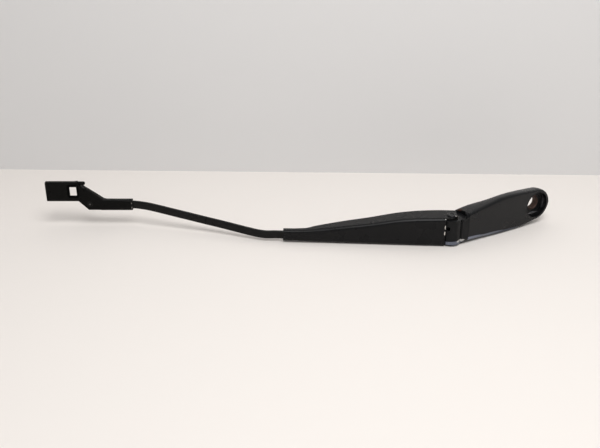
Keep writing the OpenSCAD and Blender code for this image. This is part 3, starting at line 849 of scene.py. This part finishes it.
@dataclass
class HeadSkin:
    """Smooth painted skin of the cast head with its nut recess and spindle bore.

    Rings run from the bore outwards: bore, cone, seat, step, recess wall, thin rim, flat face, rolled edge,
    side, rear lip.
    """

    start: float = 13.4
    lift: float = 0.12
    boss: float = 15.2
    recess: float = 12.4
    step: float = 9.8
    bore: float = 5.5
    bore_end: float = 2.45
    front: float = -9.0
    seat: float = -3.5
    floor: float = -4.8
    roll_from: float = 0.62
    roll_top: float = 2.4
    roll_low: float = 2.6
    roll_boss: float = 0.8
    roll_depth: float = 3.0
    roll_rings: int = 9
    rear_drop: float = 1.4
    columns: int = 60
    boss_points: int = 47
    side_points: int = 6
    sharp_angle: float = 28.0
    face_steps: tuple[float, ...] = (0.08, 0.3, 0.6, 0.9)
    side_steps: tuple[float, ...] = (0.35, 0.7, 0.94)
    rear_steps: Table = ((0.1, 0.05), (0.9, 0.06))
    top: Table = ((0, 26.6), (0.134, 29.2), (0.32, 32.9), (0.525, 36.3), (0.661, 36.9), (0.764, 36.6),
                  (0.888, 36.0), (1, 35.4))
    low: Table = ((0, 2), (0.207, 2), (0.351, 1.4), (0.517, 0.3), (0.62, 0), (0.744, 0.6), (0.868, 2.4), (1, 5.0))
    rear: Table = ((0, 8.2), (0.165, 8), (0.269, 6.4), (0.393, 2.9), (0.517, 1.2), (0.682, 1.4), (0.826, 2),
                   (0.992, 2), (1.24, 2))

    @staticmethod
    def along(table: Table, x: np.ndarray) -> np.ndarray:
        """Eased table over shares of the head's length.

        Args:
            table: Share of the length and value, in pairs.
            x: Distances from the hinge along the head.

        Returns:
            The values at x.
        """
        return ease([(a * HEAD_LENGTH, b) for a, b in table], x)

    def edge(self) -> tuple[np.ndarray, np.ndarray, np.ndarray]:
        """Outline from the top left over the boss to the bottom left.

        Returns:
            Points, inward normals, and marks that fall from 1 on the upper side to 0 on the lower.
        """
        x = np.linspace(self.start, HEAD_LENGTH, self.columns)
        top = np.stack([x, self.along(self.top, x)], axis=-1)
        low = np.stack([x, self.along(self.low, x)], axis=-1)[::-1]
        turn = arc_points(HEAD_LENGTH, SPINDLE_HEIGHT, self.boss, 90, -90, self.boss_points + 2)[1:-1]
        points = np.concatenate([top, turn, low])
        tangent = np.gradient(points, axis=0)
        tangent /= np.linalg.norm(tangent, axis=1, keepdims=True)
        inward = np.stack([tangent[:, 1], -tangent[:, 0]], axis=-1)
        upper = np.concatenate([np.ones(self.columns), np.linspace(1, 0, self.boss_points), np.zeros(self.columns)])
        return points, inward, upper

    def loop(self, inset: np.ndarray, off: np.ndarray | float) -> np.ndarray:
        """One ring: the outline moved inwards, closed by a straight left side.

        Args:
            inset: How far each point moves inwards.
            off: Each point's distance off the head's axis.

        Returns:
            Ring of (along, off, up) triples.
        """
        points, inward, _ = self.edge()
        moved = points + inward * inset[:, None]
        moved[0, 0] = moved[-1, 0] = self.start
        ring = np.stack([moved[:, 0], np.broadcast_to(off, moved[:, 0].shape), moved[:, 1]], axis=-1)
        share = np.linspace(0, 1, self.side_points + 2)[1:-1, None]
        return np.concatenate([ring, ring[-1] + (ring[0] - ring[-1]) * share])

    @staticmethod
    def circle(angles: np.ndarray, radius: float, off: float) -> np.ndarray:
        """Round ring about the spindle axis: centre + radius * (cos a, sin a).

        Args:
            angles: Angle of each point.
            radius: Radius of the ring.
            off: Distance off the head's axis.

        Returns:
            Ring of (along, off, up) triples.
        """
        return np.stack([HEAD_LENGTH + radius * np.cos(angles), np.full_like(angles, off),
                         SPINDLE_HEIGHT + radius * np.sin(angles)], axis=-1)

    def turned_profile(self, face: float) -> list[tuple[float, float]]:
        """Profile of bore, seat, step, recess and rim.

        Args:
            face: Where the flat face lies off the head's axis.

        Returns:
            Pairs of radius and distance off the head's axis, from the bore outwards.
        """
        wall = self.bore - 0.05
        return [(wall, self.bore_end), (wall, self.seat + 1.0), (self.bore + 0.5, self.seat + 0.45),
                (self.bore + 0.95, self.seat - 0.04), (self.bore + 1.5, self.seat - 0.1),
                (self.step - 0.5, self.seat - 0.1), (self.step - 0.1, self.seat - 0.4),
                (self.step - 0.08, self.floor + 0.45), (self.step + 0.1, self.floor + 0.08),
                (self.step + 0.5, self.floor), (self.recess - 0.5, self.floor), (self.recess - 0.1, self.floor - 0.3),
                (self.recess - 0.06, face + 0.3), (self.recess + 0.1, face - 0.12), (self.recess + 0.35, face - 0.2),
                (self.recess + 0.65, face - 0.12), (self.recess + 0.8, face)]

    def rings(self) -> np.ndarray:
        """All rings from bore to rear lip: circles first, then blends to the outline, then its rolled edge.

        The rolled edge is a quarter ellipse: inset = width * (1 - cos a), depth = roll_depth * (1 - sin a).

        Returns:
            Array of (along, off, up) triples, shape (rings, points, 3).
        """
        points, _, upper = self.edge()
        x = points[:, 0]
        mid = self.roll_from * HEAD_LENGTH
        fade = np.clip((x - mid) / (HEAD_LENGTH - mid), 0, 1)
        width = np.where(upper > 0.5, self.roll_top + (self.roll_boss - self.roll_top) * fade,
                         self.roll_low + (self.roll_boss - self.roll_low) * fade)
        rear = self.along(self.rear, x)
        flat = self.loop(width, self.front - self.lift)
        angles = np.arctan2(flat[:, 2] - SPINDLE_HEIGHT, flat[:, 0] - HEAD_LENGTH)
        rings = [self.circle(angles, radius, off) for radius, off in self.turned_profile(self.front - self.lift)]
        hem = rings[-1]
        rings += [hem + (flat - hem) * t for t in self.face_steps]
        for a in np.radians(np.linspace(90, 0, self.roll_rings)):
            depth = self.roll_depth * (1 - math.sin(a)) - self.lift * math.sin(a)
            rings.append(self.loop(width * (1 - math.cos(a)) - self.lift, self.front + depth))
        drop = np.where(upper > 0.5, self.rear_drop, 0.0)
        side = self.front + self.roll_depth
        for t in self.side_steps:
            rings.append(self.loop(drop * t * t - self.lift, side + (rear - side) * t))
        rings += [self.loop(drop + inset, rear + lip) for inset, lip in self.rear_steps]
        return np.array(rings)

    def build(self, paint: bpy.types.Material, recess: bpy.types.Material,
              rust: bpy.types.Material) -> list[bpy.types.Object]:
        """Skins the rings as bore wall, nut recess and face; the back and hollow stay as the casting's own.

        Args:
            paint: Material of the face, with the painted reflection along its lower edge.
            recess: Material of the recess, painted darker as shade.
            rust: Material of the bore.

        Returns:
            The three pieces.
        """
        rings = self.rings()
        made = []
        for name, first, last, finish, slot in (("bore_wall", 0, 4, rust, "pin_steel"),
                                                ("nut_recess", 3, 15, recess, "black_casting"),
                                                ("head_skin", 14, len(rings), paint, "black_casting")):
            part = rings[first:last]
            points = head_to_hinge(part[..., 0], part[..., 1], part[..., 2])
            piece = skin_rings(name, points, finish, self.sharp_angle)
            self.face_outwards(piece)
            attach(piece, Body.HEAD.value)
            made.append(piece)
        return made

    @staticmethod
    def face_outwards(piece: bpy.types.Object) -> None:
        """Flips an open piece whose faces look along the spindle axis into the head.

        Args:
            piece: The piece to look at.
        """
        mesh = piece.data
        normals = np.empty(len(mesh.polygons) * 3)
        mesh.polygons.foreach_get("normal", normals)
        areas = np.empty(len(mesh.polygons))
        mesh.polygons.foreach_get("area", areas)
        if float((normals.reshape(-1, 3) * areas[:, None]).sum(axis=0) @ HEAD_SIDE) > 0:
            mesh.flip_normals()


@dataclass
class ChannelSkin:
    """Smooth painted skin over the folded sheet arm, from the sleeve to the end of the web."""

    length: float = 152.5
    sleeve_height: float = 10.4
    sleeve_lift: float = 1.6
    width: float = 27.5
    depth: float = 20.5
    sleeve_depth: float = 5.9
    web: float = WEB_FACE
    end: float = -6.05
    lift: float = 0.08
    tuck: float = 0.5
    bend: float = 2.3
    bend_growth: float = 0.9
    bend_from: float = -132.0
    bend_run: float = 18.0
    columns: int = 120
    corner_points: int = 13
    sharp_angle: float = 40.0
    end_gap: float = 0.02
    top: Table = ((1, 0), (0.866, 0.038), (0.761, 0.158), (0.66, 0.297), (0.483, 0.551), (0.393, 0.709),
                  (0.308, 0.848), (0.197, 0.949), (0.092, 0.99), (0.052, 1), (-0.092, 1))
    deep: Table = ((1, 0), (0.866, 0.027), (0.813, 0.253), (0.662, 0.548), (0.479, 0.719), (0.321, 0.849),
                   (0.122, 0.986), (0.013, 1), (-0.092, 1))
    low: Table = ((1, 1), (0.866, 0.95), (0.7, 0.62), (0.5, 0.35), (0.3, 0.12), (0.15, 0), (-0.092, 0))

    def taper(self, table: Table, first: float, last: float, x: np.ndarray) -> np.ndarray:
        """Eased change from one value to another along the arm.

        Args:
            table: Share of the length and share of the change, in pairs.
            first: Value where the share is 0.
            last: Value where the share is 1.
            x: Places along the arm.

        Returns:
            The values at x.
        """
        return ease([(-self.length * a, first + (last - first) * b) for a, b in table], x)

    def section(self, place: float, low: float, top: float, rear: float, bend: float, tuck: float) -> np.ndarray:
        """Outer half of the folded section: rear lip, flange, round bend, web, bend, flange, lip.

        Args:
            place: Where along the arm.
            low: Height of the lower edge.
            top: Height of the upper edge.
            rear: Rear edge of the flanges.
            bend: Outer radius of the bends.
            tuck: How far the ring is drawn in, at the ends.

        Returns:
            Ring of points in the hinge frame.
        """
        out = self.lift - tuck
        lip = [(rear + 0.04, 1.3), (rear + out, 0.25), (rear - 0.2, -out)]
        flat = np.concatenate([
            [(y, low + up) for y, up in lip],
            arc_points(self.web + bend, low + bend, bend + out, 270, 180, self.corner_points),
            arc_points(self.web + bend, top - bend, bend + out, 180, 90, self.corner_points),
            [(y, top - up) for y, up in reversed(lip)]])
        return np.column_stack([np.full(len(flat), place), flat])

    def build(self, finish: bpy.types.Material) -> bpy.types.Object:
        """Sweeps the section from the sleeve to the end of the web.

        Args:
            finish: Material of the sheet.

        Returns:
            The skin.
        """
        inner = np.linspace(-self.length - self.end_gap, self.end, self.columns)
        x = np.concatenate([[-self.length - self.lift], inner, [self.end + self.end_gap]])
        at = np.clip(x, -self.length, self.end)
        low = self.taper(self.low, 0.0, self.sleeve_lift, at)
        top = self.taper(self.top, self.sleeve_lift + self.sleeve_height, self.width, at)
        rear = self.web + self.taper(self.deep, self.sleeve_depth, self.depth, at)
        bend = self.bend + self.bend_growth * np.clip((at - self.bend_from) / self.bend_run, 0, 1)
        tuck = np.zeros(len(x))
        tuck[[0, -1]] = self.tuck
        rings = np.array([self.section(*values) for values in zip(x, low, top, rear, bend, tuck)])
        piece = skin_rings("channel_skin", rings, finish, self.sharp_angle, closed=False)
        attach(piece, Body.ARM.value)
        return piece


@dataclass
class Rivet:
    """Hinge pin with its dished rivet head on the upper ear."""

    radius: float = 3.0
    head: float = 4.8
    height: float = 27.5
    sides: int = 64
    sharp_angle: float = 40.0

    def build(self, finish: bpy.types.Material) -> bpy.types.Object:
        """Turns the pin's profile about the hinge axis.

        Args:
            finish: Material of the pin.

        Returns:
            The pin.
        """
        r, h, z = self.radius, self.head, self.height
        profile = [(0.0, 0.1), (r + 0.3, 0.1), (r + 0.75, 0.16), (r, 0.86), (r, z), (h - 0.25, z), (h, z + 0.2),
                   (h - 0.1, z + 0.55), (h - 0.6, z + 0.95), (h - 1.5, z + 1.18), (h - 2.4, z + 1.15),
                   (h - 3.0, z + 0.98), (h - 3.3, z + 0.7), (0.0, z + 0.62)]
        piece = skin_rings("hinge_rivet", turned(profile, np.zeros(3), UP, self.sides), finish, self.sharp_angle)
        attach(piece, Body.ARM.value)
        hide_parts("pivot_pin")
        return piece


@dataclass
class HolderDetails:
    """Window frame, dimpled stud, stem sheet and corner tab of the blade holder, in the holder's own plane."""

    turn: float = TAIL_ANGLE
    origin: Point = (-298.0, 19.221, 0.0)
    window: tuple[float, float, float, float] = (-57.7, -51.1, 31.0, 39.9)
    window_round: float = 0.5
    least_round: float = 0.35
    stud: tuple[float, float] = (-39.7, 22.6)
    stud_sides: int = 40
    corner: float = -26.8
    slope: float = 0.81
    blend: float = 1.2
    stem_front: float = -0.08
    stem_rear: float = 6.1
    stem_low: float = 16.02
    stem_high: float = 25.98
    front_round: float = 1.3
    rear_round: float = 0.6
    tab_box: tuple[float, float, float, float] = (-52.5, -43.1, 41.2, 44.25)
    tab_round: float = 1.15
    sink_depth: float = 2.2
    sink: tuple[float, float] = (-30.0, 4.0)
    thin_depth: float = 1.6
    thin: tuple[float, float] = (-31.0, 10.0)
    sharp_angle: float = 50.0
    stud_sharp_angle: float = 60.0
    bead: Table = ((-0.02, 0.9), (-0.02, 0.02), (0.05, -0.12), (0.35, -0.2), (1.5, -0.22), (1.95, -0.2), (2.3, -0.08),
                   (2.35, 0.05))
    dish: Table = ((0.0, 0.62), (0.5, 0.6), (0.95, 0.5), (1.2, 0.3), (1.3, 0.06), (1.75, 0.05), (2.1, 0.2), (2.4, 0.22),
                   (2.7, 0.1), (2.75, -0.05))
    stem_rings: Table = ((-43.4, 0.5), (-43.0, 0.2), (-41.0, 0), (-38.0, 0), (-35.0, 0), (-32.0, 0), (-30.0, 0),
                         (-28.5, 0), (-27.0, 0), (-25.5, 0), (-24.0, 0), (-21.0, 0), (-12.0, 0), (-0.3, 0),
                         (-0.02, 0.08), (0.07, 0.35))
    tab_rings: Table = ((4.1, 0.35), (3.9, 0.1), (3.6, 0.0), (2.4, 0.0), (2.1, 0.1), (1.9, 0.35))

    def place(self, x: np.ndarray, y: np.ndarray | float, z: np.ndarray | float) -> np.ndarray:
        """Moves points of the holder's own plane to the hinge frame: turned about Z, then shifted.

        Args:
            x: Places along the holder.
            y: Depths behind its front face.
            z: Heights above the table.

        Returns:
            Points in the hinge frame, shape (n, 3).
        """
        c, s = math.cos(math.radians(self.turn)), math.sin(math.radians(self.turn))
        x, y, z = np.broadcast_arrays(x, y, z)
        return np.stack([self.origin[0] + x * c - y * s, self.origin[1] + x * s + y * c, z + self.origin[2]], axis=-1)

    def frame(self, finish: bpy.types.Material) -> bpy.types.Object:
        """Raised frame: a rounded-rectangle path offset outwards by d while its height follows a low bead.

        Args:
            finish: Material of the frame.

        Returns:
            The frame.
        """
        x0, x1, z0, z1 = self.window
        rings = []
        for d, y in self.bead:
            loop = rounded_loop(x0 - d, x1 + d, z0 - d, z1 + d, max(self.least_round, self.window_round + d))
            rings.append(self.place(loop[:, 0], y, loop[:, 1]))
        return skin_rings("window_frame", np.array(rings), finish, self.sharp_angle)

    def dimple(self, finish: bpy.types.Material) -> bpy.types.Object:
        """Stud in a shallow dish, turned about the plate's normal.

        Args:
            finish: Material of the stud.

        Returns:
            The stud.
        """
        angle = math.radians(self.turn)
        centre = self.place(np.array(self.stud[0]), 0.0, self.stud[1])
        outwards = np.array([math.sin(angle), -math.cos(angle), 0.0])
        rings = turned(self.dish, centre, outwards, self.stud_sides)
        return skin_rings("holder_stud", rings, finish, self.stud_sharp_angle)

    def stem_ring(self, x: float, inset: float) -> np.ndarray:
        """Ring round the stem: a rectangle in y and z whose upper side rises along the diagonal left of the corner.

        The rise is slope / 2 * (lead + sqrt(lead^2 + blend^2)), where lead is the distance left of the corner.

        Args:
            x: Place along the holder.
            inset: How far the ring is drawn in.

        Returns:
            Points in the hinge frame, shape (n, 3).
        """
        lead = self.corner - x
        rise = self.slope / 2 * (lead + math.hypot(lead, self.blend))
        sink, thin = (float(np.clip((start - x) / run, 0, 1)) for start, run in (self.sink, self.thin))
        y0, y1 = self.stem_front + inset, self.stem_rear - inset - self.thin_depth * thin
        z0, z1 = self.stem_low + inset + sink * (rise + self.sink_depth), self.stem_high - inset + rise
        f, b = self.front_round, self.rear_round
        corners = ((y0 + f, z0 + f, f, 180), (y1 - b, z0 + b, b, 270), (y1 - b, z1 - b, b, 0), (y0 + f, z1 - f, f, 90))
        loop = np.concatenate([arc_points(y, z, r, a, a + 90, QUARTER_POINTS) for y, z, r, a in corners])
        return self.place(np.full(len(loop), x), loop[:, 0], loop[:, 1])

    def stem(self, finish: bpy.types.Material) -> bpy.types.Object:
        """Smooth sheet round the rod's end: rings swept along x, drawn in at both ends.

        Args:
            finish: Material of the sheet.

        Returns:
            The stem.
        """
        rings = np.array([self.stem_ring(x, inset) for x, inset in self.stem_rings])
        return skin_rings("holder_stem", rings, finish, self.sharp_angle, capped=True)

    def tab(self, finish: bpy.types.Material) -> bpy.types.Object:
        """Small tab at the plate's upper corner: a rounded rectangle in x and z, rounded over in y.

        Args:
            finish: Material of the tab.

        Returns:
            The tab.
        """
        x0, x1, z0, z1 = self.tab_box
        rings = []
        for y, inset in self.tab_rings:
            loop = rounded_loop(x0 + inset, x1 - inset, z0 + inset, z1 - inset, self.tab_round)
            rings.append(self.place(loop[:, 0], y, loop[:, 1]))
        return skin_rings("holder_tab", np.array(rings), finish, self.sharp_angle, capped=True)

    def build(self, frame_finish: bpy.types.Material, stud_finish: bpy.types.Material,
              sheet_finish: bpy.types.Material) -> list[bpy.types.Object]:
        """Builds the details and lets them ride on the arm.

        Args:
            frame_finish: Material of the window's frame.
            stud_finish: Material of the stud.
            sheet_finish: Material of stem and tab.

        Returns:
            The four pieces.
        """
        made = [self.frame(frame_finish), self.dimple(stud_finish), self.stem(sheet_finish), self.tab(sheet_finish)]
        for piece in made:
            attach(piece, Body.ARM.value)
        return made


@dataclass
class Dresser:
    """Gives each CAD node that stays its finish."""

    finishes: dict[str, Finish]

    def dress(self, nodes: dict[str, bpy.types.Object], made: dict[str, bpy.types.Material]) -> None:
        """Assigns a material to every node named in finishes.

        Args:
            nodes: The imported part's objects, by name.
            made: The finished materials, by name.
        """
        for node, finish in self.finishes.items():
            piece = nodes[node]
            piece.data.materials.clear()
            piece.data.materials.append(made[finish.name])
            LOG.info("dressed %s with %s", node, finish.name)


def main() -> None:
    """Builds the studio, the detailed pieces and the finishes."""
    logging.basicConfig(level=logging.INFO, format="%(name)s: %(message)s")
    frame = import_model()
    Studio().build()
    made = {finish.name: finish.build() for finish in FINISHES}
    for piece in HeadSkin().build(made["face_paint_and_sheen"], made["recess_shaded_paint"], made["bore_rust"]):
        LOG.info("made %s", piece.name)
    LOG.info("made %s", ChannelSkin().build(made["arm_paint"]).name)
    LOG.info("made %s", Rivet().build(made["rivet_paint"]).name)
    for piece in HolderDetails().build(made["frame_paint"], made["stud_paint"], made["holder_paint"]):
        LOG.info("made %s", piece.name)
    LOG.info("made %s", RodPiece().build(made["rod_paint"]).name)
    LOG.info("made %s", SpringPiece().build(made["spring_steel"]).name)
    Dresser({"mounting_head": CASTING, "pivot_bush_upper": BRONZE, "pivot_bush_lower": BRONZE, "hook_pin": PLAIN_STEEL,
             "arm_channel": ARM_PAINT, "spring_anchor": PLAIN_STEEL, "blade_holder": HOLDER_PAINT,
             "spring_hook": PLAIN_STEEL}).dress(frame["nodes"], made)
    bpy.context.view_layer.update()


if __name__ == "__main__":
    main()
